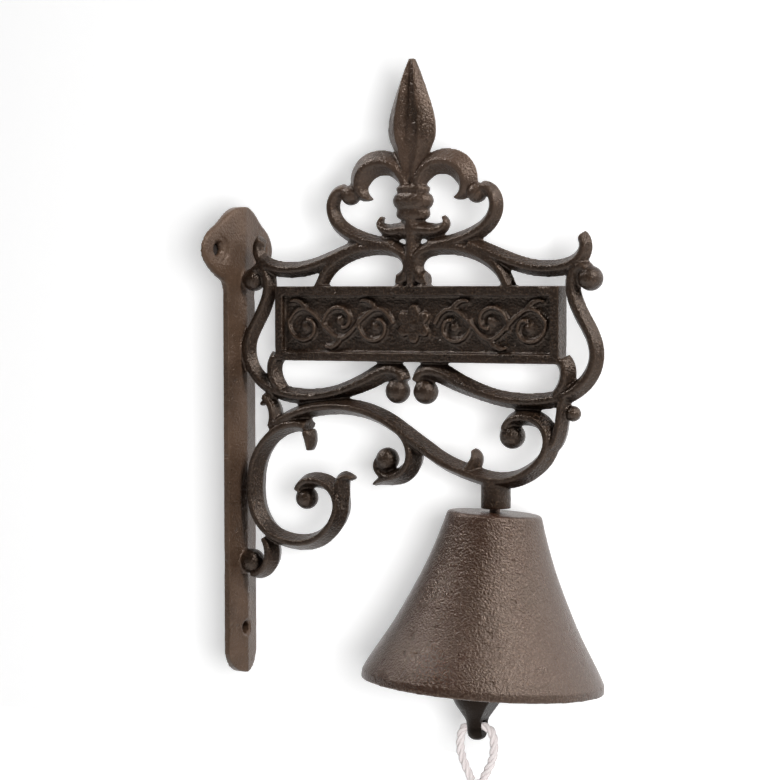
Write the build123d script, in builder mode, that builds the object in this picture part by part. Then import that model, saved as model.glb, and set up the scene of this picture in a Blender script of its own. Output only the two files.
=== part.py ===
from build123d import *
from math import cos, pi, radians, sin, tan
import os

os.makedirs("parts", exist_ok=True)

# Wall-mounted cast iron bell. +X points away from the wall, Y runs along the wall, +Z is up.
# The origin is on the wall face of the plate, halfway between its upper and lower screw holes.
# Every scroll lies in the upright middle plane Y = 0, where the casting is parted.

# Wall plate: a strip with a wide head, ridged along its middle
plate_ridge = 6.0
strip_slope = 14.7
head_slope = 8.6
strip_half = 11.6
head_half = 30.0
head_top = 114.3
head_widest = 92.0
neck_height = 72.0
plate_bottom = -115.3

# Screw holes of the plate, with a flat seat round the upper two
screw_height = 93.3
head_screw_offset = 19.0
screw_radius = 2.9
sink_radius = 4.6
seat_radius = 7.2

# Panel held by the scrolls: a raised rim round a sunk field, the same on both faces
panel_x = 104.0
panel_width = 157.0
panel_top = 75.2
panel_bottom = 39.2
panel_thickness = 8.4
panel_rim = 4.4
web_thickness = 2.8

# Section of the cast bars: half the width in the middle plane, half the depth, half the ridge
bar_half = 4.0
bar_depth = 4.4
heavy_depth = 6.8
ridge_half = 1.1

# Boss under the main arm, which carries the hanger
boss_x = 147.2
boss_radius = 7.0
boss_top = -14.0
boss_bottom = -28.5

# Bell: it hangs a little askew, its mouth leaning towards the wall and the near side
crown_drop = 2.0
lean_from_wall = 3.5
lean_across = 2.2
crown_radius = 22.0
mouth_radius = 57.0
bell_height = 80.6
wall = 4.4
crown_wall = 6.0
crown_round = 2.2
flare = [(0.031, 0.05), (0.117, 0.171), (0.257, 0.335), (0.454, 0.525), (0.68, 0.718),
         (0.886, 0.868), (0.992, 0.955)]

# Hanger: a rod through the crown into the boss, its lower end bent into an open hook
rod_radius = 2.5
rod_reach = 9.0
thread_gap = 0.05
crown_gap = 0.4
nut_flats = 8.0
nut_height = 4.5
hook_radius = 8.4
hook_depth = 20.9
hook_turn = 205.0

# Clapper: an eye over the hook, a stem, a belly and a flat-cheeked tail bored for the cord
swing_gap = 0.3
eye_radius = 5.6
eye_wire = 2.2
clapper_profile = [(2.6, 12), (2.6, 30), (3.4, 43), (6.4, 53), (10.4, 59.5), (12, 64.5),
                   (11, 68.6), (8.2, 73.3), (5.4, 78.2), (4.8, 82)]
tail_drop = 87.0
tail_cheek = 3.8
cheek_start = 77.0
cord_hole_drop = 80.0
cord_hole_radius = 2.6

# Pull cord: looped through the tail, both legs caught in a knot, and one of them hanging on
cord_radius = 2.1
knot_gap = 0.05
loop_knot = 6.6
loop_knot_drop = 29.0
end_knot = 6.0
end_knot_up = 9.0

# Routes of the cast bars. Each point is a distance out from the wall, or from the middle or the
# end of the panel, and a height above the origin, or above the panel's upper or lower edge.
light = (bar_half, bar_depth)
heavy = (bar_half, heavy_depth)
panel_end = panel_width / 2

# Side scroll: from its upper ball, down beside the panel and along below it to the middle
side_route = [
    (13.5, 43.8), (8.5, 44.4), (5.7, 39.8), (5.9, 32.8), (8.5, 25.8), (12.5, 18.8),
    (16.5, 11.3), (17.7, 3.8), (15.5, -3.7), (9.5, -10.4), (0.5, -15), (-10.5, -17.2),
    (-22.5, -17.4), (-34.5, -15.8), (-46.5, -12.4), (-57.5, -8.2), (-66.5, -4.6),
    (-73.5, -4.8), (-77.6, -9),
]
side_halves = [(3, bar_depth)] + [light] * 6 + [(5, bar_depth), (3.4, bar_depth)]
side_balls = [(14.7, 39.4, 5.8), (-73.3, -13.9, 6.0)]
drop_x = panel_x - 2.8
corner_route = [(0.5, 1.8), (2.9, -3.8), (1.1, -10.2), (-2.5, -14.2)]
corner_halves = [(4.4, bar_depth), (4.4, 5), (3.2, bar_depth)]

# Scrolls along the top of the panel
arm_route = [
    (30, 19.3), (44, 14.4), (52, 11.5), (62, 8.8), (72, 8), (82, 9.4), (88.6, 13.4),
    (90.6, 18.8), (88.4, 23),
]
arm_halves = [light, light, light, light, (3.2, 3.4)]
crest_x = panel_x - 1.6
arch_route = [
    (8.1, 4.4), (4.1, 5.2), (2.2, 9.8), (5.1, 15.4), (12.6, 18.2), (21.6, 18.5), (31.6, 16.8),
    (40.6, 13.2), (47.6, 7.8), (51, 2.2),
]
arch_halves = [(3, 3.6), light, light, light, (3.6, bar_depth)]
heart_route = [
    (9.6, 20), (19.6, 20.2), (29.6, 22.8), (38.1, 26.8), (43.6, 32.3), (45.2, 38.6),
    (42.6, 44.4), (38, 46.2),
]
heart_halves = [(2.6, 3.8), light, light, light, (2.8, 3.6)]
heart_ball = (35.0, 43.6, 4.9)

# Fleur-de-lis: a spear leaf between two petals that curl out and down from the collar
petal_route = [
    (3.1, 46.3), (6.1, 53.3), (12.1, 57.8), (19.6, 58.4), (26.6, 55.2), (29.6, 49), (23.6, 41.4),
]
petal_halves = [(3, 4), (5.4, 5), (6.4, 5.2), (6.2, 4.8), (0.9, 2.4)]
horn_route = [(1.1, 26.3), (7.6, 26.2), (14.1, 26.4), (18, 28.8), (16.8, 32.8)]
horn_halves = [(4.2, 4.4), (3.8, 4.2), (1, 2)]
stem_stations = [(3, 3.2, 4.2), (20, 4.2, 4.6), (34, 7.6, 5.2)]
leaf_stations = [
    (43, 4.0, 3.4), (53, 5.4, 4.0), (62, 9.2, 4.4), (72, 11.4, 4.4), (83, 10.0, 4.2),
    (96, 5.8, 3.6), (107.4, 1.5, 1.5),
]
vein_depth = 1.3
collar_bands = [(31.6, 7.4), (33, 8.9), (35.2, 8.9), (36.3, 8), (37.8, 9.9), (40.3, 10.8),
                (42.8, 9.9), (44.2, 7.9), (45.2, 8.8), (46.6, 8.8), (47.6, 7.4)]
collar_flatten = 0.62

# Lower bracket: a C-scroll beside the plate, the main arm over the bell, and their curls
c_route = [
    (43, 7.4), (36, 8.2), (29.6, 6.6), (22.6, 2.4), (16.6, -4), (12.8, -12), (11.4, -21),
    (12, -31), (16, -40), (23, -46), (32, -48.9), (41, -49.3), (49.6, -47), (56.6, -41.5),
    (60.8, -34.5), (61, -27), (56.4, -21.2), (49, -18.8), (42.4, -19.6), (38, -24),
]
c_halves = [(bar_half, 5.4)] + [heavy] * 7 + [(3.4, 5.6)]
c_ball = (41.4, -27.6, 5.6)
nib_route = [(43.2, -4.4), (43.8, 0), (42.6, 5)]
nib_halves = [(1.1, 3), (2.8, 4.6), (3.8, 5.2)]
cap_route = [(61.6, -29), (61.6, -22), (63, -17.6), (68.6, -17.4)]
cap_halves = [(4, 6), (4.4, 5.6), (1.4, 3)]
main_route = [
    (22, 6), (31, 10.8), (42, 14.8), (55, 17), (68, 17), (80, 14.6), (90, 10.6), (100, 4.6),
    (110, -1.6), (120, -7.4), (130, -11.2), (140, -14), (150, -15.4), (160, -13.8),
    (169, -9), (175.4, -2), (176.6, 6), (172.4, 12.2), (164.6, 14.4), (157.4, 13),
    (153.6, 8.6),
]
main_halves = [(3, 5)] + [heavy] * 8 + [(3.4, 5.4)]
main_ball = (156.2, 5.6, 6.1)
branch_route = [
    (92, 9), (98.5, 4.6), (102.4, -1.6), (102, -9), (97, -14.2), (89.6, -16.4), (80.4, -19.8),
]
branch_halves = [(3, 5.6), heavy, (4.2, 6.2), (0.9, 2.6)]
tip_route = [(95, -15), (88, -15.6), (83.2, -12.6), (83.4, -7.6)]
tip_halves = [(3, 5), (2.4, 4.4), (2, 3.6)]
branch_ball = (87.8, -7.4, 5.7)
bud_route = [(132.6, -12), (136, -8.4), (137.2, -4.4), (135.4, -1.8)]
bud_halves = [(3.4, 6), (3.6, 5.4), (1.6, 3)]
post_route = [(178.4, 1), (181.6, 8), (182.8, 16), (184, 24)]
post_halves = [(2.8, 5.4), (3.2, 5.4), (3.6, bar_depth)]
post_ball = (188.2, 16.6, 3.6)
foot_route = [(18.6, -48), (21, -54), (19.8, -60.6), (15.4, -65), (10.6, -66)]
foot_halves = [(3.6, 6), (4, 6), (2.2, 4.8)]
foot_ball = (9.2, -60.2, 6.2)
spur_route = [(17.6, 21.4), (21.4, 18.2), (23.4, 13), (22.6, 7)]
spur_halves = [(3.2, 4.6), (3.2, 5), (3.2, 5.4)]
thorn_route = [(21.6, 22.6), (18.4, 19.4), (14.6, 17.4)]
thorn_halves = [(3.6, 4), (1, 2)]

# Running vine in the panel's field: a wave with a curl and bud in each hollow and a leaf on each
# crest, out from a rosette in the middle
vine_rise = 7.0
vine_hollows = 3
vine_start = 11.4
vine_half = 1.5
relief = 3.5
curl_route = [(9.4, 2.6), (8.6, -3.4), (4.2, -7.4), (-1.6, -7.4), (-5.2, -3.6), (-4.2, 0.8),
              (-0.6, 1.8)]
curl_bud = (0.4, -1.4, 3.0)
leaf_route = [(-1.6, 6.4), (1.4, 9.2), (5.0, 11.2), (8.8, 10.6)]
rosette_radius = 9.2
rosette_heart = 3.4
rosette_petals = 6


def scroll(points, halves, out=0.0, up=0.0, side=1):
    """One cast bar along points of the middle plane, each side * distance from out and a height
    above up: ridged on both sides, with its half width and half depth at even stations."""
    with BuildLine(Plane.XZ) as route:
        Spline(*[(out + side * x, up + z) for x, z in points])
    path = route.line
    sections = []
    for station, (half_width, half_depth) in enumerate(halves):
        at = station / (len(halves) - 1)
        ridge = min(ridge_half, half_width / 2)
        with BuildSketch(Plane(origin=path @ at, x_dir=(0, 1, 0), z_dir=path % at)) as section:
            with BuildLine():
                Polyline(
                    (0, half_width), (half_depth, ridge), (half_depth, -ridge),
                    (0, -half_width), (-half_depth, -ridge), (-half_depth, ridge), close=True,
                )
            make_face()
        sections.append(section.sketch)
    return sweep(sections=sections, path=path, multisection=True, mode=Mode.PRIVATE)


def vine(side):
    """Half of the running vine, out from the rosette to one end of the field."""
    middle = (panel_top + panel_bottom) / 2
    hollow = (panel_end - panel_rim - 2.5 - vine_start) / vine_hollows
    wave = []
    for step in range(2 * vine_hollows + 1):
        wave.append((vine_start + hollow * step / 2, vine_rise * sin(step * pi / 2)))
    strands = [scroll(wave, [(vine_half, relief)] * 3 + [(0.8, relief)], panel_x, middle, side)]
    for turn in range(vine_hollows):
        crest = vine_start + hollow * (turn + 0.5)
        rise = 1 if turn % 2 == 0 else -1
        for route, halves in (
            (curl_route, [(0.9, relief), (1.4, relief), (1.2, relief)]),
            (leaf_route, [(0.8, relief), (2.0, relief), (0.6, relief)]),
        ):
            line = [(crest + x, rise * z) for x, z in route]
            strands.append(scroll(line, halves, panel_x, middle, side))
    return strands


# Places worked out from the sizes above
crown = (boss_x - 0.6, 0, boss_bottom - crown_drop)
lean = Plane(
    origin=crown,
    x_dir=(1, 0, -tan(radians(lean_from_wall))),
    z_dir=(tan(radians(lean_from_wall)), tan(radians(lean_across)), 1),
)
upright = Plane(origin=crown, x_dir=lean.x_dir, z_dir=-lean.y_dir)
hook_centre = lean.from_local_coords((-hook_radius, 0, hook_radius - hook_depth))
tilt = radians(lean_across)
pivot = hook_centre + Vector(0, -hook_radius * sin(tilt), -hook_radius * cos(tilt))
tail = pivot - (0, 0, cord_hole_drop)

# Bracket: plate, scrolls, panel, crest and boss, cast in one piece
with BuildPart() as bracket:
    # Plate outline, extruded from the wall and then sloped away from its middle ridge
    with BuildSketch(Plane.YZ):
        with BuildLine():
            head = Spline(
                (0, head_top), (10, head_top - 2.6), (18.4, head_top - 8.6),
                (head_half - 4, head_widest + 9), (head_half, head_widest),
                (head_half - 4.6, head_widest - 7), (strip_half + 4.4, neck_height + 7),
                (strip_half, neck_height - 4), tangents=((1, 0), (0, -1)),
            )
            side = Line(head @ 1, (strip_half, plate_bottom + strip_half))
            JernArc(side @ 1, (0, -1), strip_half, -90)
            mirror(about=Plane.YZ)
        make_face()
    extrude(amount=plate_ridge)
    # The slope eases from the strip to the wider head
    for level, slope in (
        (plate_bottom - 1, strip_slope), (neck_height - 6, strip_slope),
        (head_widest - 6, head_slope), (head_top + 1, head_slope),
    ):
        with BuildSketch(Plane.XY.offset(level)):
            with BuildLine():
                fall = plate_ridge - (head_half + 1) * tan(radians(slope))
                Polyline(
                    (plate_ridge, 0), (fall, head_half + 1), (plate_ridge + 1, head_half + 1),
                    (plate_ridge + 1, -head_half - 1), (fall, -head_half - 1), close=True,
                )
            make_face()
    loft(ruled=True, mode=Mode.SUBTRACT)
    # Panel with its sunk field
    with BuildSketch(Plane.XZ):
        with Locations((panel_x, (panel_top + panel_bottom) / 2)):
            Rectangle(panel_width, panel_top - panel_bottom)
    extrude(amount=panel_thickness / 2, both=True)
    for face in (-1, 1):
        with BuildSketch(Plane.XZ.offset(face * panel_thickness / 2)):
            with Locations((panel_x, (panel_top + panel_bottom) / 2)):
                Rectangle(panel_width - 2 * panel_rim, panel_top - panel_bottom - 2 * panel_rim)
        extrude(amount=-face * (panel_thickness - web_thickness) / 2, mode=Mode.SUBTRACT)
    # Scrolls that have a twin on the other side
    bars = []
    for route, halves, middle, foot in (
        (arm_route, arm_halves, panel_x, panel_top),
        (arch_route, arch_halves, crest_x, panel_top),
        (heart_route, heart_halves, crest_x, panel_top),
        (petal_route, petal_halves, crest_x, panel_top),
        (horn_route, horn_halves, crest_x, panel_top),
    ):
        bars += [scroll(route, halves, middle, foot, side) for side in (-1, 1)]
    for side in (-1, 1):
        end = panel_x + side * panel_end
        shift = 0 if side == 1 else 2 * (panel_x - drop_x)
        route = [(x + shift * max(0, -x) / panel_end, z) for x, z in side_route]
        bars.append(scroll(route, side_halves, end, panel_bottom, side))
        bars.append(scroll(corner_route, corner_halves, end, panel_bottom, side))
        for x, z, radius in side_balls:
            along = x + shift * max(0, -x) / panel_end
            with Locations((end + side * along, 0, panel_bottom + z)):
                Sphere(radius)
        with Locations((crest_x + side * heart_ball[0], 0, panel_top + heart_ball[1])):
            Sphere(heart_ball[2])
    # Scrolls of the lower bracket
    for route, halves in (
        (c_route, c_halves),
        (nib_route, nib_halves),
        (cap_route, cap_halves),
        (main_route, main_halves),
        (branch_route, branch_halves),
        (tip_route, tip_halves),
        (bud_route, bud_halves),
        (post_route, post_halves),
        (foot_route, foot_halves),
        (spur_route, spur_halves),
        (thorn_route, thorn_halves),
    ):
        bars.append(scroll(route, halves))
    for x, z, radius in (c_ball, main_ball, branch_ball, post_ball, foot_ball):
        with Locations((x, 0, z)):
            Sphere(radius)
    add(bars + vine(1) + vine(-1))
    # Bud in the middle of each curl, and the rosette in the middle of the field
    middle = (panel_top + panel_bottom) / 2
    hollow = (panel_end - panel_rim - 2.5 - vine_start) / vine_hollows
    for turn in range(vine_hollows):
        out = vine_start + hollow * (turn + 0.5) + curl_bud[0]
        up = curl_bud[1] if turn % 2 == 0 else -curl_bud[1]
        for side in (-1, 1):
            with Locations((panel_x + side * out, 0, middle + up)):
                Sphere(curl_bud[2])
    with BuildSketch(Plane.XZ.offset(-relief)):
        with Locations((panel_x, middle)):
            with PolarLocations(rosette_radius * 0.6, rosette_petals, start_angle=30):
                Ellipse(rosette_radius * 0.4, rosette_radius * 0.3)
    extrude(amount=2 * relief)
    with Locations((panel_x, 0, middle)):
        Sphere(rosette_heart + 0.7)
    # Stem of the crest, widening up into the collar
    for rise, half_width, half_depth in stem_stations:
        with BuildSketch(Plane((crest_x, 0, panel_top + rise))):
            with BuildLine():
                Polyline(
                    (half_width, 0), (ridge_half, half_depth), (-ridge_half, half_depth),
                    (-half_width, 0), (-ridge_half, -half_depth), (ridge_half, -half_depth),
                    close=True,
                )
            make_face()
    loft()
    # Spear leaf of the crest, with a vein sunk along the middle of each side
    for rise, half_width, half_depth in leaf_stations:
        with BuildSketch(Plane((crest_x - 0.5, 0, panel_top + rise))):
            with BuildLine():
                sunk = half_depth - min(vein_depth, half_depth / 3)
                Polyline(
                    (half_width, 0.5), (0.5 * half_width, half_depth), (0, sunk),
                    (-0.5 * half_width, half_depth), (-half_width, 0.5), (-half_width, -0.5),
                    (-0.5 * half_width, -half_depth), (0, -sunk),
                    (0.5 * half_width, -half_depth), (half_width, -0.5), close=True,
                )
            make_face()
    loft()
    # Collar that binds the leaf and the petals: three rings, flattened as the bars are
    for rise, reach in collar_bands:
        with BuildSketch(Plane((crest_x, 0, panel_top + rise))):
            Ellipse(reach, reach * collar_flatten)
    loft(ruled=True)
    # Boss under the arm, tapped from below for the hanger, which stands askew as the bell does
    with BuildSketch(Plane.XY.offset(boss_bottom)):
        with Locations((boss_x, 0)):
            Circle(boss_radius)
    extrude(amount=boss_top - boss_bottom)
    with BuildSketch(lean):
        Circle(rod_radius + thread_gap)
    extrude(amount=crown_drop + rod_reach + 0.5, mode=Mode.SUBTRACT)
    # Screw holes, sunk from the front; the upper two have a flat seat on the sloped head
    seat = plate_ridge - head_screw_offset * tan(radians(head_slope))
    front = Plane(origin=(seat, 0, 0), x_dir=(0, 1, 0), z_dir=(1, 0, 0))
    with BuildSketch(front):
        with Locations((-head_screw_offset, screw_height), (head_screw_offset, screw_height)):
            Circle(seat_radius)
    extrude(amount=plate_ridge, mode=Mode.SUBTRACT)
    with BuildSketch(Plane.YZ):
        with Locations((-head_screw_offset, screw_height), (head_screw_offset, screw_height),
                       (0, -screw_height)):
            Circle(screw_radius)
    extrude(amount=plate_ridge, mode=Mode.SUBTRACT)
    for y, z, level in ((-head_screw_offset, screw_height, seat),
                        (head_screw_offset, screw_height, seat),
                        (0, -screw_height, plate_ridge)):
        sink = Plane(origin=(level, y, z), x_dir=(0, 1, 0), z_dir=(-1, 0, 0))
        with BuildSketch(sink):
            Circle(sink_radius)
        with BuildSketch(sink.offset(sink_radius - screw_radius)):
            Circle(screw_radius)
        loft(mode=Mode.SUBTRACT)
bracket.part.label = "bracket"
export_step(bracket.part, "parts/bracket.step")

# Bell: a flared shell with a flat crown, bored for the hanger
with BuildPart() as bell:
    with BuildSketch(upright) as half_section:
        with BuildLine():
            spread = mouth_radius - crown_radius
            outside = [(crown_radius + f * spread, -d * bell_height) for f, d in flare]
            inside = [(r - 1.1 * wall, z) for r, z in outside[1:]]
            outer = Spline((crown_radius, 0), *outside)
            lip = Polyline(
                outer @ 1, (mouth_radius, -bell_height), (mouth_radius - wall, -bell_height),
                inside[-1],
            )
            inner = Spline(*inside[::-1])
            Polyline(
                inner @ 1, (inside[0][0] - 0.6, -crown_wall),
                (rod_radius + crown_gap, -crown_wall), (rod_radius + crown_gap, 0), outer @ 0,
            )
        make_face()
        rim = half_section.vertices().sort_by_distance((crown_radius, 0))[0]
        fillet(rim, crown_round)
    revolve(axis=Axis(crown, lean.z_dir))
bell.part.label = "bell"
export_step(bell.part, "parts/bell.step")

# Hanger: screwed up into the boss, bent into a hook inside the bell
with BuildPart() as hanger:
    with BuildLine(upright) as rod_line:
        shank = Line((0, crown_drop + rod_reach), (0, hook_radius - hook_depth))
        JernArc(shank @ 1, shank % 1, hook_radius, -hook_turn)
    with BuildSketch(lean.offset(crown_drop + rod_reach)):
        Circle(rod_radius)
    sweep()
hanger.part.label = "hanger"
export_step(hanger.part, "parts/hanger.step")

# Nut that carries the bell on the hanger
with BuildPart() as nut:
    with BuildSketch(lean.offset(-crown_wall)):
        RegularPolygon(nut_flats / 2, 6, major_radius=False)
        Circle(rod_radius + thread_gap, mode=Mode.SUBTRACT)
    extrude(amount=-nut_height)
nut.part.label = "nut"
export_step(nut.part, "parts/nut.step")

# Clapper: it hangs plumb from the hook and swings along the wall
with BuildPart() as clapper:
    eye_drop = eye_radius - eye_wire - rod_radius - swing_gap
    with Locations(Plane(origin=pivot - (0, 0, eye_drop), z_dir=(1, 0, 0))):
        Torus(eye_radius, eye_wire)
    stem_top = eye_drop + eye_radius
    with BuildSketch(Plane(origin=pivot, x_dir=(1, 0, 0), z_dir=(0, -1, 0))):
        with BuildLine():
            neck = Polyline((0, -stem_top), (clapper_profile[0][0], -stem_top))
            belly = Spline(
                neck @ 1, *[(r, -z) for r, z in clapper_profile], tangents=((0, -1), (0, -1))
            )
            low = Spline(belly @ 1, (0, -tail_drop), tangents=((0, -1), (-1, 0)))
            Line(low @ 1, neck @ 0)
        make_face()
    revolve(axis=Axis(pivot, (0, 0, 1)))
    # Flat cheeks of the tail, bored from one to the other
    for side in (-1, 1):
        with BuildSketch(Plane(origin=pivot, x_dir=(side, 0, 0), z_dir=(0, -side, 0))):
            with BuildLine():
                rise = clapper_profile[5][0] + 2 - tail_cheek
                Polyline(
                    (tail_cheek, -cheek_start), (tail_cheek, -tail_drop - 1),
                    (25, -tail_drop - 1), (25, rise / 0.65 - cheek_start),
                    (tail_cheek + rise, rise / 0.65 - cheek_start), close=True,
                )
            make_face()
        extrude(amount=20, both=True, mode=Mode.SUBTRACT)
    with BuildSketch(Plane(origin=tail, z_dir=(1, 0, 0))):
        Circle(cord_hole_radius)
    extrude(amount=20, both=True, mode=Mode.SUBTRACT)
clapper.part.label = "clapper"
export_step(clapper.part, "parts/clapper.step")

# Pull cord: up one side, through the tail, down the other side and on below the knot
cord_points = [
    (-3.0, -26), (-8.4, -17), (-9.6, -8), (-7.2, 0), (7.2, 0), (9.6, -8), (8.2, -17), (2.4, -26),
    (1.0, -41), (0.2, -66), (0.5, -96), (1.8, -123), (4.0, -150),
]
places = [tail + (x, 0, z) for x, z in cord_points]
cord_radii = []
for before, at, after in zip(places, places[1:], places[2:]):
    half_turn = radians((at - before).get_angle(after - at)) / 2
    cord_radii.append(0.45 * min((at - before).length, (after - at).length) / tan(half_turn))
with BuildLine() as cord_line:
    FilletPolyline(*places, radius=cord_radii)
cord_wire = cord_line.wire()
cord_start = Plane(origin=cord_wire @ 0, z_dir=cord_wire % 0)
with BuildPart() as pull_cord:
    with BuildSketch(cord_start):
        Circle(cord_radius)
    sweep(path=cord_wire)
pull_cord.part.label = "pull_cord"
export_step(pull_cord.part, "parts/pull_cord.step")
print("cord bend radii, mm:", [round(radius, 1) for radius in cord_radii])
print("cord length, mm:", round(cord_wire.length, 1))
print("cord volume over section times length:",
      round(pull_cord.part.volume / (pi * cord_radius**2 * cord_wire.length), 4))

# Knots on the cord, each bored along the cord's own line
low_direction = (places[-2] - places[-1]).normalized()
with BuildPart() as cord_loop_knot:
    with Locations(tail - (0, 0, loop_knot_drop)):
        Sphere(loop_knot)
    with BuildSketch(cord_start):
        Circle(cord_radius + knot_gap)
    sweep(path=cord_wire, mode=Mode.SUBTRACT)
cord_loop_knot.part.label = "cord_loop_knot"
export_step(cord_loop_knot.part, "parts/cord_loop_knot.step")
with BuildPart() as cord_end_knot:
    with Locations(places[-1] + low_direction * end_knot_up):
        Sphere(end_knot)
    with BuildSketch(cord_start):
        Circle(cord_radius + knot_gap)
    sweep(path=cord_wire, mode=Mode.SUBTRACT)
cord_end_knot.part.label = "cord_end_knot"
export_step(cord_end_knot.part, "parts/cord_end_knot.step")
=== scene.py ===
import bpy
import math
from mathutils import Matrix, Vector, noise


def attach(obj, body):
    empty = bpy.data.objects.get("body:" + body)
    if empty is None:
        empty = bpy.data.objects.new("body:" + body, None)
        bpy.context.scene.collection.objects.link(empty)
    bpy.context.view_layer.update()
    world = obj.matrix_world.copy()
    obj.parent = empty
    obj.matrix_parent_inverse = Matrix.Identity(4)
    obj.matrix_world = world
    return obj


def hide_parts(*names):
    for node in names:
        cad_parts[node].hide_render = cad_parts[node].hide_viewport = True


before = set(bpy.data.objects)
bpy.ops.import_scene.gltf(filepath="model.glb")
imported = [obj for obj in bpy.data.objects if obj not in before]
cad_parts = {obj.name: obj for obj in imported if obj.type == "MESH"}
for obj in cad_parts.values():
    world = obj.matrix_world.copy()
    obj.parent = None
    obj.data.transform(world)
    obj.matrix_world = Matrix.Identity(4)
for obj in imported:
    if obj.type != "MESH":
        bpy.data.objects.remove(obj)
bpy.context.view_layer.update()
bpy.ops.object.select_all(action="DESELECT")

# ---------------------------------------------------------------- Wall bracket
# The bracket is one iron casting from a two-part sand mould: plate, scrolls, panel, crest, boss.
# Its skin takes the CAD casting's shape, with the soft corners and root fillets of sand casting,
# and has the antique brown lacquer that is brushed over the raw grain.
def solid_copy(name, node):
    """A copy of a CAD solid to work on, its loose triangles merged."""
    bpy.ops.object.select_all(action="DESELECT")
    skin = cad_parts[node].copy()
    skin.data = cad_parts[node].data.copy()
    skin.name = name
    skin.data.name = name
    skin.parent = None
    for key in list(skin.keys()):
        del skin[key]
    skin.data.materials.clear()
    bpy.context.scene.collection.objects.link(skin)
    bpy.context.view_layer.objects.active = skin
    skin.select_set(True)
    bpy.ops.object.mode_set(mode="EDIT")
    bpy.ops.mesh.select_all(action="SELECT")
    bpy.ops.mesh.remove_doubles(threshold=0.000002)
    bpy.ops.mesh.select_all(action="DESELECT")
    bpy.ops.object.mode_set(mode="OBJECT")
    return skin


def sand_cast(skin, voxel, rounds, swell, wave, keep, run_together=()):
    """Runs a solid's corners soft, fills its roots and makes its faces a little uneven.
    The iron ran softer still where a curl meets its ball: run_together has x, z and reach."""
    remesh = skin.modifiers.new("sand_mould", "REMESH")
    remesh.mode = "VOXEL"
    remesh.voxel_size = voxel
    bpy.ops.object.modifier_apply(modifier=remesh.name)
    soften = skin.modifiers.new("soft_corners", "SMOOTH")
    soften.factor = 0.5
    soften.iterations = rounds
    bpy.ops.object.modifier_apply(modifier=soften.name)
    if run_together:
        soft = skin.vertex_groups.new(name="run_together")
        steepness = 3
        for vertex in skin.data.vertices:
            spot = vertex.co
            depth = max(
                1 - math.hypot(spot.x - x, spot.z - z) / reach for x, z, reach in run_together
            )
            if depth > 0:
                soft.add([vertex.index], min(1, steepness * depth), "REPLACE")
        flow = skin.modifiers.new("run_together", "SMOOTH")
        flow.vertex_group = soft.name
        flow.factor = 0.5
        flow.iterations = 9
        bpy.ops.object.modifier_apply(modifier=flow.name)
        skin.vertex_groups.clear()
    coarse, fine = 260, 610
    normals = [normal.vector.copy() for normal in skin.data.vertex_normals]
    for vertex, normal in zip(skin.data.vertices, normals):
        bump = noise.noise(vertex.co * coarse) + 0.5 * noise.noise(vertex.co * fine)
        vertex.co += normal * (swell + wave * bump)
    if keep < 1:
        thin = skin.modifiers.new("fewer_faces", "DECIMATE")
        thin.ratio = keep
        bpy.ops.object.modifier_apply(modifier=thin.name)
    bpy.ops.object.mode_set(mode="EDIT")
    bpy.ops.mesh.select_all(action="SELECT")
    bpy.ops.mesh.normals_make_consistent(inside=False)
    bpy.ops.object.mode_set(mode="OBJECT")
    bpy.ops.object.shade_smooth()
    skin.select_set(False)


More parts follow.
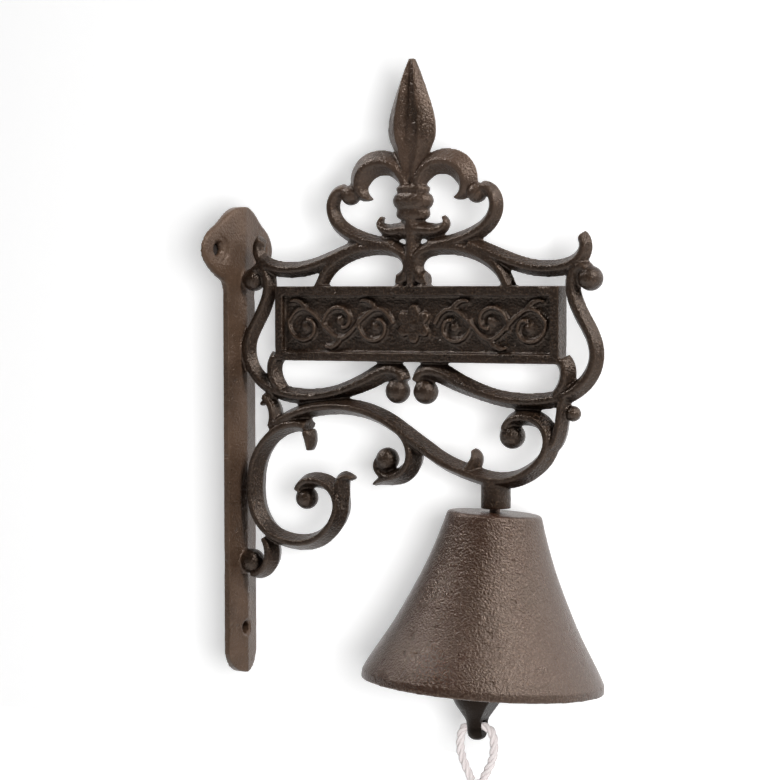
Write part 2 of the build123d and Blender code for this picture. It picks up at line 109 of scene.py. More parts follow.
def sand_grain_group():
    """Colour, roughness and height of lacquered sand-cast iron, from where a point is on it: worn
    grain tips, a painted highlight on ridges and painted shade in recesses.
    """
    group = bpy.data.node_groups.new("sand_grain", "ShaderNodeTree")
    face = group.interface
    face.new_socket("Vector", in_out="INPUT", socket_type="NodeSocketVector")
    for name, colour in (("Dark_coat_and_shade", (0.02, 0.012, 0.008, 1)), ("Lacquer", (0.06, 0.036, 0.025, 1)),
                         ("Worn_and_highlight", (0.2, 0.15, 0.12, 1))):
        face.new_socket(name, in_out="INPUT", socket_type="NodeSocketColor").default_value = colour
    for name, value in (("Grain", 900.0), ("Patches", 38.0), ("Wear_and_highlight", 0.4), ("Edge", 0.5)):
        face.new_socket(name, in_out="INPUT", socket_type="NodeSocketFloat").default_value = value
    face.new_socket("Color", in_out="OUTPUT", socket_type="NodeSocketColor")
    face.new_socket("Roughness", in_out="OUTPUT", socket_type="NodeSocketFloat")
    face.new_socket("Height", in_out="OUTPUT", socket_type="NodeSocketFloat")
    nodes, links = group.nodes, group.links
    given = nodes.new("NodeGroupInput")
    result = nodes.new("NodeGroupOutput")
    grain = nodes.new("ShaderNodeTexNoise")
    grain.inputs["Detail"].default_value = 3.0
    grain.inputs["Roughness"].default_value = 0.62
    pebble = nodes.new("ShaderNodeTexVoronoi")
    pebble.feature = "SMOOTH_F1"
    pebble.inputs["Smoothness"].default_value = 0.6
    patches = nodes.new("ShaderNodeTexNoise")
    patches.inputs["Detail"].default_value = 4.0
    patches.inputs["Roughness"].default_value = 0.6
    pits = nodes.new("ShaderNodeTexNoise")
    pits.inputs["Scale"].default_value = 190.0
    pits.inputs["Detail"].default_value = 1.0
    for texture in (grain, pebble, patches, pits):
        links.new(given.outputs["Vector"], texture.inputs["Vector"])
    links.new(given.outputs["Grain"], grain.inputs["Scale"])
    links.new(given.outputs["Grain"], pebble.inputs["Scale"])
    links.new(given.outputs["Patches"], patches.inputs["Scale"])
    relief = nodes.new("ShaderNodeMath")
    relief.operation = "MULTIPLY_ADD"
    relief.inputs[1].default_value = -0.45
    links.new(pebble.outputs["Distance"], relief.inputs[0])
    links.new(grain.outputs["Fac"], relief.inputs[2])
    pit_mask = nodes.new("ShaderNodeMapRange")
    pit_mask.inputs["From Min"].default_value = 0.70
    pit_mask.inputs["From Max"].default_value = 0.76
    links.new(pits.outputs["Fac"], pit_mask.inputs["Value"])
    height = nodes.new("ShaderNodeMath")
    height.operation = "MULTIPLY_ADD"
    height.inputs[1].default_value = -0.7
    links.new(pit_mask.outputs["Result"], height.inputs[0])
    links.new(relief.outputs[0], height.inputs[2])
    patch_mask = nodes.new("ShaderNodeMapRange")
    patch_mask.inputs["From Min"].default_value = 0.34
    patch_mask.inputs["From Max"].default_value = 0.66
    links.new(patches.outputs["Fac"], patch_mask.inputs["Value"])
    coat = nodes.new("ShaderNodeMix")
    coat.data_type = "RGBA"
    links.new(patch_mask.outputs["Result"], coat.inputs["Factor"])
    links.new(given.outputs["Dark_coat_and_shade"], coat.inputs["A"])
    links.new(given.outputs["Lacquer"], coat.inputs["B"])
    tips = nodes.new("ShaderNodeMapRange")
    tips.inputs["From Min"].default_value = 0.52
    tips.inputs["From Max"].default_value = 0.72
    links.new(grain.outputs["Fac"], tips.inputs["Value"])
    # Painted highlight: ridges, found by pointiness, are lightened towards the worn colour.
    ridge_highlight = nodes.new("ShaderNodeMapRange")
    ridge_highlight.inputs["From Min"].default_value = 0.512
    ridge_highlight.inputs["From Max"].default_value = 0.575
    links.new(given.outputs["Edge"], ridge_highlight.inputs["Value"])
    wear_and_ridge_highlight = nodes.new("ShaderNodeMath")
    wear_and_ridge_highlight.operation = "MAXIMUM"
    links.new(tips.outputs["Result"], wear_and_ridge_highlight.inputs[0])
    links.new(ridge_highlight.outputs["Result"], wear_and_ridge_highlight.inputs[1])
    wear_and_shine_factor = nodes.new("ShaderNodeMath")
    wear_and_shine_factor.operation = "MULTIPLY"
    links.new(wear_and_ridge_highlight.outputs[0], wear_and_shine_factor.inputs[0])
    links.new(given.outputs["Wear_and_highlight"], wear_and_shine_factor.inputs[1])
    worn_and_highlighted = nodes.new("ShaderNodeMix")
    worn_and_highlighted.data_type = "RGBA"
    links.new(wear_and_shine_factor.outputs[0], worn_and_highlighted.inputs["Factor"])
    links.new(coat.outputs["Result"], worn_and_highlighted.inputs["A"])
    links.new(given.outputs["Worn_and_highlight"], worn_and_highlighted.inputs["B"])
    # Painted shade: recesses, found by pointiness, are darkened towards the dark coat colour.
    recess_shade = nodes.new("ShaderNodeMapRange")
    recess_shade.inputs["From Min"].default_value = 0.49
    recess_shade.inputs["From Max"].default_value = 0.42
    links.new(given.outputs["Edge"], recess_shade.inputs["Value"])
    colour = nodes.new("ShaderNodeMix")
    colour.data_type = "RGBA"
    links.new(recess_shade.outputs["Result"], colour.inputs["Factor"])
    links.new(worn_and_highlighted.outputs["Result"], colour.inputs["A"])
    links.new(given.outputs["Dark_coat_and_shade"], colour.inputs["B"])
    gloss = nodes.new("ShaderNodeMapRange")
    gloss.inputs["To Min"].default_value = 0.22
    gloss.inputs["To Max"].default_value = 0.36
    links.new(patches.outputs["Fac"], gloss.inputs["Value"])
    links.new(colour.outputs["Result"], result.inputs["Color"])
    links.new(gloss.outputs["Result"], result.inputs["Roughness"])
    links.new(height.outputs[0], result.inputs["Height"])
    return group


sand_grain = sand_grain_group()


def lacquered_iron(
    name, dark_coat_and_shade, lacquer, worn_and_highlight, grain, patches, wear_and_highlight, depth, gloss, edge_highlight_and_shade,
    plate=None, crest=None,
):
    """Lacquered cast iron, with its own colours, grain size and depth of grain. Its edge flag adds
    a painted highlight on ridges and painted shade in recesses.
    plate and crest are the dark and light coat colours used there: lighter on the plate, and on
    the crest partly a lighter brown and partly painted sheen."""
    material = bpy.data.materials.new(name)
    material.use_nodes = True
    nodes, links = material.node_tree.nodes, material.node_tree.links
    surface = nodes["Principled BSDF"]
    place = nodes.new("ShaderNodeTexCoord")
    cast = nodes.new("ShaderNodeGroup")
    cast.node_tree = sand_grain
    # Pointiness drives the painted ridge highlight and the painted recess shade.
    if edge_highlight_and_shade:
        edges = nodes.new("ShaderNodeNewGeometry")
        links.new(edges.outputs["Pointiness"], cast.inputs["Edge"])
    cast.inputs["Dark_coat_and_shade"].default_value = (*dark_coat_and_shade, 1)
    cast.inputs["Lacquer"].default_value = (*lacquer, 1)
    cast.inputs["Worn_and_highlight"].default_value = (*worn_and_highlight, 1)
    cast.inputs["Grain"].default_value = grain
    cast.inputs["Patches"].default_value = patches
    cast.inputs["Wear_and_highlight"].default_value = wear_and_highlight
    # The plate is lighter; the crest is lighter still, partly a lighter brown and partly painted
    # sheen.
    if plate:
        plate_front, bars_begin = 0.0056, 0.0085
        crest_foot, crest_full = 0.082, 0.150
        axes = nodes.new("ShaderNodeSeparateXYZ")
        links.new(place.outputs["Object"], axes.inputs["Vector"])
        off_plate = nodes.new("ShaderNodeMapRange")
        off_plate.inputs["From Min"].default_value = plate_front
        off_plate.inputs["From Max"].default_value = bars_begin
        links.new(axes.outputs["X"], off_plate.inputs["Value"])
        up_crest = nodes.new("ShaderNodeMapRange")
        up_crest.inputs["From Min"].default_value = crest_foot
        up_crest.inputs["From Max"].default_value = crest_full
        links.new(axes.outputs["Z"], up_crest.inputs["Value"])
        colours = zip(("Dark_coat_and_shade", "Lacquer"), plate, (dark_coat_and_shade, lacquer), crest)
        for socket, on_plate, on_bars, on_crest in colours:
            bars = nodes.new("ShaderNodeMix")
            bars.data_type = "RGBA"
            bars.inputs["A"].default_value = (*on_bars, 1)
            bars.inputs["B"].default_value = (*on_crest, 1)
            links.new(up_crest.outputs["Result"], bars.inputs["Factor"])
            coats = nodes.new("ShaderNodeMix")
            coats.data_type = "RGBA"
            coats.inputs["A"].default_value = (*on_plate, 1)
            links.new(off_plate.outputs["Result"], coats.inputs["Factor"])
            links.new(bars.outputs["Result"], coats.inputs["B"])
            links.new(coats.outputs["Result"], cast.inputs[socket])
    relief = nodes.new("ShaderNodeBump")
    relief.inputs["Strength"].default_value = 1.0
    relief.inputs["Distance"].default_value = depth
    links.new(place.outputs["Object"], cast.inputs["Vector"])
    links.new(cast.outputs["Color"], surface.inputs["Base Color"])
    links.new(cast.outputs["Roughness"], surface.inputs["Roughness"])
    links.new(cast.outputs["Height"], relief.inputs["Height"])
    links.new(relief.outputs["Normal"], surface.inputs["Normal"])
    surface.inputs["Specular IOR Level"].default_value = gloss
    surface.inputs["Specular Tint"].default_value = (1.0, 0.80, 0.67, 1)
    return material


bracket_casting = solid_copy("bracket_casting", "bracket")
head_back, head_front, head_low, bars_half = 0.001, 0.0058, 0.0665, 0.004
screw_across, screw_up, seat_reach = 0.019, 0.0933, 0.0085
beside = {}
for face in bracket_casting.data.polygons:
    for key in face.edge_keys:
        beside.setdefault(key, []).append(abs(face.normal.x))
for edge in bracket_casting.data.edges:
    ends = [bracket_casting.data.vertices[index].co for index in edge.vertices]
    facing = sorted(beside[edge.key])
    on_head = all(
        head_back < end.x < head_front and end.z > head_low and abs(end.y) > bars_half
        for end in ends
    )
    by_seat = any(
        math.hypot(abs(end.y) - screw_across, end.z - screw_up) < seat_reach for end in ends
    )
    on_rim = len(facing) == 2 and facing[0] < 0.2 and facing[1] > 0.9
    edge.select = on_head and on_rim and not by_seat
bpy.ops.object.mode_set(mode="EDIT")
bpy.ops.mesh.select_mode(type="EDGE")
bpy.ops.mesh.bevel(offset=0.0017, segments=2, affect="EDGES")
bpy.ops.object.mode_set(mode="OBJECT")
crest_x, panel_top = 0.1024, 0.0752
leg_apart, leg_up, leg_longer = 0.051, 0.0022, 0.0044
end_depth, end_reach = 0.0006, 0.0045
for side in (-1, 1):
    leg_end = Vector((crest_x + side * leg_apart, 0, panel_top + leg_up))
    leg_way = Vector((side * 0.52, 0, -0.854))
    for vertex in bracket_casting.data.vertices:
        off = vertex.co - leg_end
        if abs(off.dot(leg_way)) < end_depth and math.hypot(off.x, off.z) < end_reach:
            vertex.co += leg_way * leg_longer
foot_half, foot_low, foot_high, foot_longer = 0.013, 0.0002, 0.005, 0.0016
for vertex in bracket_casting.data.vertices:
    spot = vertex.co
    at_foot = panel_top + foot_low < spot.z < panel_top + foot_high
    if at_foot and abs(spot.x - crest_x) < foot_half:
        spot.z -= foot_longer
curl_ends = [
    (0.0425, 0.0095, 0.0110), (0.0161, 0.0175, 0.006), (0.0925, 0.0300, 0.009),
    (0.1098, 0.0300, 0.009), (0.0234, 0.0392, 0.007), (0.1838, 0.0412, 0.007),
    (0.0130, 0.0965, 0.006), (0.1937, 0.0961, 0.007), (0.0663, -0.0172, 0.007),
    (0.0828, -0.0190, 0.007), (0.1376, -0.0039, 0.006), (0.0073, -0.0598, 0.010),
    (0.0413, -0.0249, 0.008), (0.0879, -0.0078, 0.008), (0.1548, 0.0083, 0.008),
    (0.0099, 0.0769, 0.008), (0.1968, 0.0792, 0.008), (0.0639, 0.1200, 0.008),
    (0.1427, 0.1184, 0.008), (0.1024, 0.1027, 0.015),
]
sand_cast(
    bracket_casting, voxel=0.0006, rounds=1, swell=0.00004, wave=0.00006, keep=0.34,
    run_together=curl_ends,
)

leaf_low, leaf_high, leaf_half, leaf_step = 0.138, 0.1826, 0.0125, 0.0015
thinnest, wider, foot_run, tip_run = 0.0006, 0.15, 0.22, 0.3
lobe_high, lobe_at, lobe_wide = 0.0011, 0.56, 0.24
groove_deep, groove_at, groove_wide = 0.0010, 0.20, 0.085
on_leaf = [
    vertex for vertex in bracket_casting.data.vertices
    if vertex.co.z > leaf_low and abs(vertex.co.x - crest_x) < leaf_half
]
half_widths = {}
for vertex in on_leaf:
    level = round(vertex.co.z / leaf_step)
    half_widths[level] = max(half_widths.get(level, thinnest), abs(vertex.co.x - crest_x))
for vertex in on_leaf:
    spot = vertex.co
    level = round(spot.z / leaf_step)
    near = [half_widths.get(level + step, thinnest) for step in (-1, 0, 1)]
    across = min(1.0, abs(spot.x - crest_x) / (sum(near) / 3))
    up = (spot.z - leaf_low) / (leaf_high - leaf_low)
    full = min(1.0, up / foot_run) * min(1.0, (1 - up) / tip_run)
    full = full * full * (3 - 2 * full)
    facing = min(1.0, abs(vertex.normal.y) * 1.6) * math.copysign(1, spot.y)
    lobe = lobe_high * math.exp(-((across - lobe_at) / lobe_wide) ** 2)
    groove = groove_deep * math.exp(-((across - groove_at) / groove_wide) ** 2)
    spot.y += facing * full * (lobe - groove)
    spot.x = crest_x + (spot.x - crest_x) * (1 + wider * full)
# The bracket's colours include a painted highlight on its ridges and painted shade in its
# recesses.
bracket_iron = lacquered_iron(
    "bracket_iron", dark_coat_and_shade=(0.0052, 0.0026, 0.0014), lacquer=(0.0175, 0.0088, 0.0047),
    worn_and_highlight=(0.150, 0.094, 0.061), grain=900, patches=42, wear_and_highlight=0.50, depth=0.00040, gloss=0.5,
    edge_highlight_and_shade=True, plate=((0.060, 0.035, 0.022), (0.115, 0.069, 0.044)),
    crest=((0.030, 0.0170, 0.0108), (0.105, 0.066, 0.047)),
)
bracket_casting.data.materials.append(bracket_iron)
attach(bracket_casting, "frame")
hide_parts("bracket")

# ------------------------------------------------------------------------ Bell
# The bell is a thin flared iron casting with a flat crown, bored for the hanger.
# Its skin is more coarsely grained than the bracket's, because its mould is not brushed out.
bell_casting = solid_copy("bell_casting", "bell")
sand_cast(bell_casting, voxel=0.0006, rounds=1, swell=0.00003, wave=0.00006, keep=0.5)
bell_iron = lacquered_iron(
    "bell_iron", dark_coat_and_shade=(0.031, 0.0098, 0.0043), lacquer=(0.030, 0.0153, 0.0086),
    worn_and_highlight=(0.170, 0.112, 0.078), grain=940, patches=26, wear_and_highlight=0.58, depth=0.00044, gloss=0.8,
    edge_highlight_and_shade=False,
)
bell_casting.data.materials.append(bell_iron)
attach(bell_casting, "frame")
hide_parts("bell")

# -------------------------------------------------------------- Hanger and nut
# The hanger is a mild steel rod, threaded into the boss and bent into a hook inside the bell.
# Both it and its nut keep their CAD shape and are browned by the same bath.
browned_steel = bpy.data.materials.new("browned_steel")
browned_steel.use_nodes = True
nodes, links = browned_steel.node_tree.nodes, browned_steel.node_tree.links
surface = nodes["Principled BSDF"]
surface.inputs["Metallic"].default_value = 0.85
place = nodes.new("ShaderNodeTexCoord")
stretch = nodes.new("ShaderNodeMapping")
stretch.inputs["Scale"].default_value = (1, 1, 0.15)
drawn = nodes.new("ShaderNodeTexNoise")
drawn.inputs["Scale"].default_value = 1500
drawn.inputs["Detail"].default_value = 3
tint = nodes.new("ShaderNodeValToRGB")
tint.color_ramp.elements[0].color = (0.07, 0.045, 0.034, 1)
tint.color_ramp.elements[1].color = (0.19, 0.145, 0.12, 1)
sheen = nodes.new("ShaderNodeMapRange")
sheen.inputs["To Min"].default_value = 0.3
sheen.inputs["To Max"].default_value = 0.5
relief = nodes.new("ShaderNodeBump")
relief.inputs["Distance"].default_value = 0.00004
links.new(place.outputs["Object"], stretch.inputs["Vector"])
links.new(stretch.outputs["Vector"], drawn.inputs["Vector"])
links.new(drawn.outputs["Fac"], tint.inputs["Fac"])
links.new(drawn.outputs["Fac"], sheen.inputs["Value"])
links.new(drawn.outputs["Fac"], relief.inputs["Height"])
links.new(tint.outputs["Color"], surface.inputs["Base Color"])
links.new(sheen.outputs["Result"], surface.inputs["Roughness"])
links.new(relief.outputs["Normal"], surface.inputs["Normal"])
for node in ("hanger", "nut"):
    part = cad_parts[node]
    part.data.materials.clear()
    part.data.materials.append(browned_steel)

# --------------------------------------------------------------------- Clapper
# The clapper is a small iron casting: an eye over the hook, a pear-shaped belly and a flat tail.
# It hangs in the bell's shadow and its lacquer is the darkest of the castings.
clapper_casting = solid_copy("clapper_casting", "clapper")
sand_cast(clapper_casting, voxel=0.0004, rounds=1, swell=0.00002, wave=0.00004, keep=1)
# The clapper's colours include a painted highlight on its ridges and painted shade in its
# recesses.
clapper_iron = lacquered_iron(
    "clapper_iron", dark_coat_and_shade=(0.006, 0.0035, 0.0024), lacquer=(0.013, 0.0076, 0.005),
    worn_and_highlight=(0.04, 0.027, 0.020), grain=1100, patches=60, wear_and_highlight=0.3, depth=0.00016, gloss=0.12,
    edge_highlight_and_shade=True,
)
clapper_casting.data.materials.append(clapper_iron)
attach(clapper_casting, "striker")
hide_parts("clapper")

# ------------------------------------------------------------------- Pull cord
# A soft three-strand cotton cord goes up one side, through the tail and down the other.
# One knot catches both legs and one ends the leg that hangs on. All are spun off-white cotton.
tail = Vector((0.137453, -0.000801, -0.130849))
cord_route = [
    (-3.0, -26), (-8.4, -17), (-9.6, -8), (-7.2, 0), (7.2, 0), (9.6, -8), (8.2, -17), (2.4, -26),
    (1.0, -41), (0.2, -66), (0.5, -96), (1.8, -123), (4.0, -150),
]
cord_line = bpy.data.curves.new("cord_line", "CURVE")
cord_line.dimensions = "3D"
cord_line.resolution_u = 24
strip = cord_line.splines.new("NURBS")
strip.points.add(len(cord_route) - 1)
for point, (out, up) in zip(strip.points, cord_route):
    point.co = (*(tail + Vector((out, 0, up)) / 1000), 1)
strip.order_u = 3
strip.use_endpoint_u = True
line_object = bpy.data.objects.new("cord_line", cord_line)
line_mesh = bpy.data.meshes.new_from_object(line_object)
cord_path = [v.co.copy() for v in line_mesh.vertices]
bpy.data.objects.remove(line_object)


def laid_rope(name, path, radius, lay, closed=False):
    """Three strands laid round a path, each a smooth tube, joined as one piece."""
    count = len(path)
    steps = []
    for at in range(count):
        ahead = path[(at + 1) % count] if closed else path[min(at + 1, count - 1)]
        behind = path[at - 1] if closed or at else path[0]
        steps.append((ahead - behind).normalized())
    across = steps[0].orthogonal().normalized()
    frames, run, travelled = [], 0.0, [0.0]
    for at in range(count):
        across = (across - steps[at] * across.dot(steps[at])).normalized()
        frames.append((across.copy(), steps[at].cross(across)))
        if at:
            run += (path[at] - path[at - 1]).length
            travelled.append(run)
    strands = []
    strands_across = 2.1547
    strand_radius = radius / strands_across
    for strand in range(3):
        curve = bpy.data.curves.new(name, "CURVE")
        curve.dimensions = "3D"
        curve.bevel_depth = strand_radius
        curve.bevel_resolution = 3
        curve.use_fill_caps = True
        line = curve.splines.new("POLY")
        line.points.add(count - 1)
        for at in range(count):
            turn = 2 * math.pi * (travelled[at] / lay + strand / 3)
            side, up = frames[at]
            offset = (side * math.cos(turn) + up * math.sin(turn)) * (radius - strand_radius)
            line.points[at].co = (*(path[at] + offset), 1)
        line.use_cyclic_u = closed
        maker = bpy.data.objects.new(name, curve)
        mesh = bpy.data.meshes.new_from_object(maker)
        piece = bpy.data.objects.new(name, mesh)
        bpy.context.scene.collection.objects.link(piece)
        bpy.data.objects.remove(maker)
        strands.append(piece)
    bpy.ops.object.select_all(action="DESELECT")
    for piece in strands:
        piece.select_set(True)
    bpy.context.view_layer.objects.active = strands[0]
    bpy.ops.object.join()
    rope = bpy.context.view_layer.objects.active
    rope.name = name
    bpy.ops.object.shade_smooth()
    rope.select_set(False)
    return rope


cotton = bpy.data.materials.new("cord_cotton")
cotton.use_nodes = True
nodes, links = cotton.node_tree.nodes, cotton.node_tree.links
surface = nodes["Principled BSDF"]
surface.inputs["Sheen Weight"].default_value = 0.35
surface.inputs["Sheen Roughness"].default_value = 0.5
surface.inputs["Specular IOR Level"].default_value = 0.2
place = nodes.new("ShaderNodeTexCoord")
fibres = nodes.new("ShaderNodeTexNoise")
fibres.inputs["Scale"].default_value = 2600
fibres.inputs["Detail"].default_value = 4
dust = nodes.new("ShaderNodeTexNoise")
dust.inputs["Scale"].default_value = 90
dust.inputs["Detail"].default_value = 3
spun = nodes.new("ShaderNodeMix")
spun.data_type = "RGBA"
spun.inputs["A"].default_value = (0.66, 0.59, 0.58, 1)
spun.inputs["B"].default_value = (0.86, 0.81, 0.80, 1)
mixed = nodes.new("ShaderNodeMath")
mixed.operation = "MULTIPLY_ADD"
mixed.inputs[1].default_value = 0.5
halved = nodes.new("ShaderNodeMath")
halved.operation = "MULTIPLY"
halved.inputs[1].default_value = 0.5
rough = nodes.new("ShaderNodeMapRange")
rough.inputs["To Min"].default_value = 0.75
rough.inputs["To Max"].default_value = 0.95
relief = nodes.new("ShaderNodeBump")
relief.inputs["Distance"].default_value = 0.00012
links.new(place.outputs["Object"], fibres.inputs["Vector"])
links.new(place.outputs["Object"], dust.inputs["Vector"])
links.new(fibres.outputs["Fac"], halved.inputs[0])
links.new(dust.outputs["Fac"], mixed.inputs[0])
links.new(halved.outputs[0], mixed.inputs[2])
links.new(mixed.outputs[0], spun.inputs["Factor"])
links.new(spun.outputs["Result"], surface.inputs["Base Color"])
links.new(fibres.outputs["Fac"], rough.inputs["Value"])
links.new(rough.outputs["Result"], surface.inputs["Roughness"])
links.new(fibres.outputs["Fac"], relief.inputs["Height"])
links.new(relief.outputs["Normal"], surface.inputs["Normal"])

pull_rope = laid_rope("pull_rope", cord_path, radius=0.0021, lay=0.0125)
pull_rope.data.materials.clear()
pull_rope.data.materials.append(cotton)
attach(pull_rope, "striker")
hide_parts("pull_cord")


def overhand_knot(name, middle, reach, node):
    """An overhand knot, pulled down tight: a closed round of three crossings."""
    turns = []
    count, pulled_radius = 120, 0.0019
    for step in range(count):
        t = 2 * math.pi * step / count
        round_out = Vector((
            math.sin(t) + 2 * math.sin(2 * t),
            math.cos(t) - 2 * math.cos(2 * t),
            -1.35 * math.sin(3 * t),
        ))
        turns.append(middle + round_out * (reach - pulled_radius) / 3)
    knot = laid_rope(name, turns, pulled_radius, lay=0.0092, closed=True)
    knot.data.materials.clear()
    knot.data.materials.append(cotton)
    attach(knot, "striker")
    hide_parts(node)
    return knot


loop_knot = overhand_knot("loop_knot", tail - Vector((0, 0, 0.029)), 0.0066, "cord_loop_knot")
low_end = tail + Vector((0.0040, 0, -0.150))
low_run = (tail + Vector((0.0018, 0, -0.123)) - low_end).normalized()
end_knot = overhand_knot("end_knot", low_end + low_run * 0.009, 0.0060, "cord_end_knot")

# ----------------------------------------------------- Backdrop, floor, camera
# A pale card stands behind the scrolls, bent away below, and a pale floor lies under it all.
# Dark rounds behind the screw holes are painted shade, where the wall would lie in shade.
# The camera stands where the photograph was taken from, at the height of the panel.
def seen_from_front(material, shader):
    """Shows a material on its faces' fronts alone, so that a view from behind looks through."""
    nodes, links = material.node_tree.nodes, material.node_tree.links
    clear = nodes.new("ShaderNodeBsdfTransparent")
    one_sided = nodes.new("ShaderNodeMixShader")
    facing = nodes.new("ShaderNodeNewGeometry")
    links.new(facing.outputs["Backfacing"], one_sided.inputs["Fac"])
    links.new(shader.outputs["BSDF"], one_sided.inputs[1])
    links.new(clear.outputs["BSDF"], one_sided.inputs[2])
    links.new(one_sided.outputs["Shader"], nodes["Material Output"].inputs["Surface"])


paper = bpy.data.materials.new("backdrop_paper")
paper.use_nodes = True
nodes, links = paper.node_tree.nodes, paper.node_tree.links
surface = nodes["Principled BSDF"]
surface.inputs["Roughness"].default_value = 0.9
surface.inputs["Specular IOR Level"].default_value = 0.0
surface.inputs["Emission Color"].default_value = (1, 1, 1, 1)
seen = nodes.new("ShaderNodeLightPath")
camera_or_gloss = nodes.new("ShaderNodeMath")
camera_or_gloss.operation = "MAXIMUM"
or_through = nodes.new("ShaderNodeMath")
or_through.operation = "MAXIMUM"
links.new(seen.outputs["Is Camera Ray"], camera_or_gloss.inputs[0])
links.new(seen.outputs["Is Glossy Ray"], camera_or_gloss.inputs[1])
links.new(camera_or_gloss.outputs[0], or_through.inputs[0])
links.new(seen.outputs["Is Transmission Ray"], or_through.inputs[1])
glow = nodes.new("ShaderNodeMath")
glow.name = "glow"
glow.operation = "MULTIPLY"
glow.inputs[1].default_value = 0.38
links.new(or_through.outputs[0], glow.inputs[0])
links.new(glow.outputs[0], surface.inputs["Emission Strength"])
paper_colour = nodes.new("ShaderNodeMix")
paper_colour.data_type = "RGBA"
paper_colour.inputs["A"].default_value = (0.35, 0.35, 0.35, 1)
paper_colour.inputs["B"].default_value = (0.9, 0.9, 0.9, 1)
links.new(or_through.outputs[0], paper_colour.inputs["Factor"])
links.new(paper_colour.outputs["Result"], surface.inputs["Base Color"])
seen_from_front(paper, surface)
card_low = -0.16
bpy.ops.mesh.primitive_plane_add(
    size=4, location=(0.1, 0.075, 0), rotation=(math.radians(90), 0, 0),
)
backdrop = bpy.context.active_object
backdrop.name = "backdrop"
for corner in backdrop.data.vertices:
    corner.co.y = max(corner.co.y, card_low)
    corner.select = corner.co.y < 0
for edge in backdrop.data.edges:
    edge.select = all(backdrop.data.vertices[index].select for index in edge.vertices)
for card_face in backdrop.data.polygons:
    card_face.select = False
bpy.ops.object.mode_set(mode="EDIT")
bpy.ops.mesh.extrude_region_move(TRANSFORM_OT_translate={"value": (0, 0.3, -0.26)})
bpy.ops.object.mode_set(mode="OBJECT")
backdrop.data.materials.append(paper)
floor_paper = paper.copy()
floor_paper.name = "floor_paper"
floor_paper.node_tree.nodes["glow"].inputs[1].default_value = 0.72
backdrop.data.materials.append(floor_paper)
for card_face in backdrop.data.polygons:
    if card_face.normal.z < 0:
        card_face.flip()
    card_face.material_index = int(card_face.center.y < card_low)
bpy.ops.mesh.primitive_plane_add(size=6, location=(0.1, 0, -0.42))
floor = bpy.context.active_object
floor.name = "floor"
floor.data.materials.append(floor_paper)
# Painted shade: dark rounds behind the screw holes, where the wall would lie in shade.
hole_shade_paint = bpy.data.materials.new("hole_shade_paint")
hole_shade_paint.use_nodes = True
surface = hole_shade_paint.node_tree.nodes["Principled BSDF"]
surface.inputs["Base Color"].default_value = (0.018, 0.012, 0.009, 1)
surface.inputs["Roughness"].default_value = 0.9
seen_from_front(hole_shade_paint, surface)
for name, across, up in (
    ("hole_shade_left", -screw_across, screw_up),
    ("hole_shade_right", screw_across, screw_up),
    ("hole_shade_low", 0, -screw_up),
):
    bpy.ops.mesh.primitive_circle_add(
        vertices=24, radius=0.0042, fill_type="NGON", location=(-0.0001, across, up),
        rotation=(0, math.radians(90), 0),
    )
    shade_disc = bpy.context.active_object
    shade_disc.name = name
    shade_disc.data.materials.append(hole_shade_paint)

camera_data = bpy.data.cameras.new("camera")
camera_data.sensor_width = 36
camera_data.lens = 127.85
camera_data.clip_start = 0.05
camera = bpy.data.objects.new("camera", camera_data)
bpy.context.scene.collection.objects.link(camera)
heading, dip, roll = math.radians(32), math.radians(2.2), math.radians(0.15)
forward = Vector((
    -math.sin(heading) * math.cos(dip),
    math.cos(heading) * math.cos(dip),
    -math.sin(dip),
))
level = Vector((math.cos(heading), math.sin(heading), 0))
upward = level.cross(forward)
right = level * math.cos(roll) - upward * math.sin(roll)
upward = upward * math.cos(roll) + level * math.sin(roll)
camera.matrix_world = Matrix((
    (right.x, upward.x, -forward.x, 0.788856),
    (right.y, upward.y, -forward.y, -1.119783),
    (right.z, upward.z, -forward.z, 0.076422),
    (0, 0, 0, 1),
))
bpy.context.scene.camera = camera

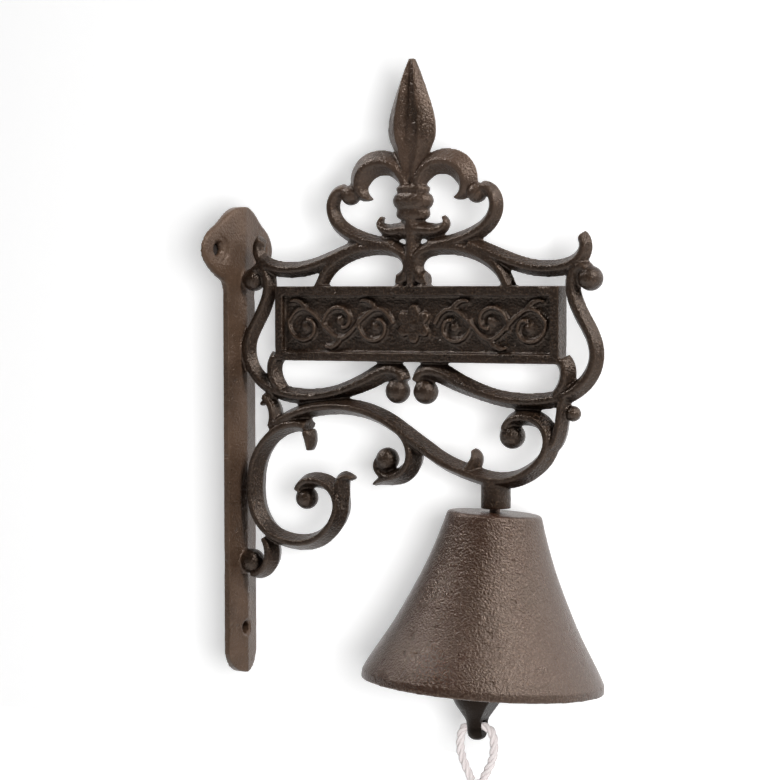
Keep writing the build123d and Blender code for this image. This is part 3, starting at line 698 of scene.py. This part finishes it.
# ---------------------------------------------------------------------- Lights
# Three soft lamps, the strongest high on the right, light all but the card, which is left pale.
# A fourth, by the camera, lights the card and the cord and throws the bracket's soft shadow.
# The surround is dim to the object and white to the camera.
def soft_lamp(name, place, aim, width, height, power):
    """A soft box at a place, turned to its aim."""
    lamp_data = bpy.data.lights.new(name, "AREA")
    lamp_data.shape = "RECTANGLE"
    lamp_data.size = width
    lamp_data.size_y = height
    lamp_data.energy = power
    lamp = bpy.data.objects.new(name, lamp_data)
    bpy.context.scene.collection.objects.link(lamp)
    lamp.location = place
    lamp.rotation_euler = (Vector(aim) - Vector(place)).to_track_quat("-Z", "Y").to_euler()
    return lamp


middle = (0.1, 0, 0)
all_but_card = bpy.data.collections.new("all_but_card")
all_but_card.objects.link(backdrop)
all_but_card.collection_objects[0].light_linking.link_state = "EXCLUDE"
for name, place, width, height, power in (
    ("lamp_right", (1.14, -0.46, 0.97), 0.30, 0.60, 20),
    ("lamp_left", (-0.85, -0.42, 1.10), 0.26, 0.26, 12),
    ("lamp_side", (1.20, 0.80, 0.55), 0.40, 0.60, 4),
):
    lamp = soft_lamp(name, place, middle, width, height, power)
    lamp.light_linking.receiver_collection = all_but_card
    lamp.light_linking.blocker_collection = all_but_card

shadow_lamp = soft_lamp("lamp_front", (0.992, -1.206, 0.06), middle, 0.27, 0.27, 22)
card_and_cord = bpy.data.collections.new("card_and_cord")
for lit in (backdrop, pull_rope, loop_knot, end_knot):
    card_and_cord.objects.link(lit)
shadow_lamp.light_linking.receiver_collection = card_and_cord

world = bpy.context.scene.world or bpy.data.worlds.new("surround")
bpy.context.scene.world = world
world.use_nodes = True
nodes, links = world.node_tree.nodes, world.node_tree.links
sky = nodes["Background"]
sky.inputs["Color"].default_value = (1, 1, 1, 1)
seen = nodes.new("ShaderNodeLightPath")
shown = nodes.new("ShaderNodeMapRange")
shown.inputs["To Min"].default_value = 0.09
shown.inputs["To Max"].default_value = 1.0
links.new(seen.outputs["Is Camera Ray"], shown.inputs["Value"])
links.new(shown.outputs["Result"], sky.inputs["Strength"])
bpy.context.scene.view_settings.view_transform = "Standard"
